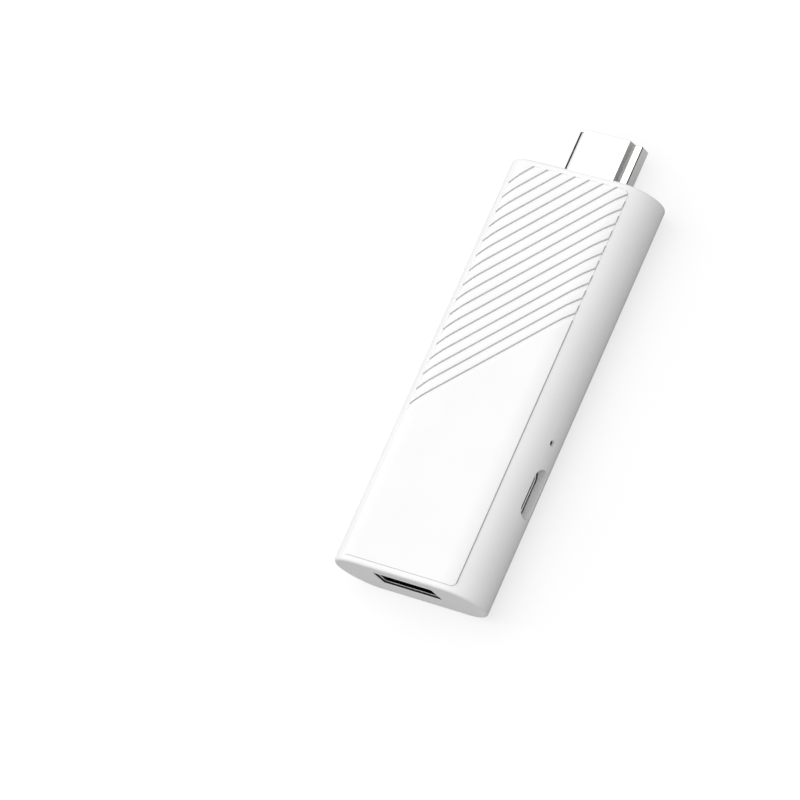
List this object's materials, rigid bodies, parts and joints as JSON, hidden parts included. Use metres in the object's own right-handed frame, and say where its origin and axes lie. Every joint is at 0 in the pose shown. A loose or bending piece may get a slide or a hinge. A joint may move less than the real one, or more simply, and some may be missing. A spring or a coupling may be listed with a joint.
{
  "type": "streaming stick",
  "caption": "Slim white media streaming stick with an HDMI plug at one end, a USB-A socket at the other, a USB-C port and reset pinhole in one side, and a diagonally ribbed front cover.",
  "frame": {"origin": "on the resting surface, under the middle of the whole object's box, plug included", "axes": "+Y along the stick towards the HDMI plug, +Z out of the ribbed front cover, +X towards the side with the USB-C port and the reset pinhole"},
  "size_m": [0.0326, 0.0934, 0.0138],
  "materials": {
    "housing_white": "satin moulded",
    "cover_white": "satin moulded",
    "board_green": "solder mask",
    "screw_steel": "zinc plated",
    "plug_nickel": "bright nickel plated",
    "black_plastic": "moulded",
    "contact_gold": "gold plated",
    "socket_steel": "nickel plated",
    "switch_steel": "stamped",
    "spring_steel": "sprung",
    "plunger_plastic": "moulded",
    "chip_black": "moulded",
    "can_steel": "tin plated",
    "pad_grey": "soft silicone",
    "spreader_aluminium": "extruded",
    "module_green": "solder mask",
    "antenna_board": "solder mask",
    "lead_black": "jacketed lead",
    "coil_grey": "ferrite",
    "capacitor_tan": "fired ceramic"
  },
  "bodies": {
    "stick": {"rear_shell": "housing_white", "front_cover": "cover_white", "main_board": "board_green", "board_screws": "screw_steel", "hdmi_shell": "plug_nickel", "hdmi_insulator": "black_plastic", "hdmi_contacts": "contact_gold", "usb_a_shell": "socket_steel", "usb_a_tongue": "black_plastic", "usb_a_contacts": "contact_gold", "usb_c_shell": "socket_steel", "usb_c_tongue": "black_plastic", "usb_c_contacts": "contact_gold", "reset_switch_base": "black_plastic", "reset_switch_cover": "switch_steel", "reset_dome": "spring_steel", "processor": "chip_black", "memory_chips": "chip_black", "flash_chip": "chip_black", "power_chip": "chip_black", "shield_frame": "can_steel", "thermal_pads": "pad_grey", "heat_spreader": "spreader_aluminium", "wireless_module": "module_green", "wireless_can": "can_steel", "antenna_strip": "antenna_board", "antenna_socket": "contact_gold", "antenna_plug": "switch_steel", "antenna_lead": "lead_black", "crystal": "can_steel", "power_coils": "coil_grey", "power_capacitors": "capacitor_tan", "resistors": "chip_black"},
    "reset_button": {"reset_plunger": "plunger_plastic"}
  },
  "joints": [
    {"name": "reset_press", "type": "slide", "parent": "stick", "child": "reset_button", "axis": [-1, 0, 0], "range_m": [0, 0.00025], "stiffness_N_per_m": 400, "springref_m": -0.0005, "deforming": ["reset_dome"]}
  ]
}
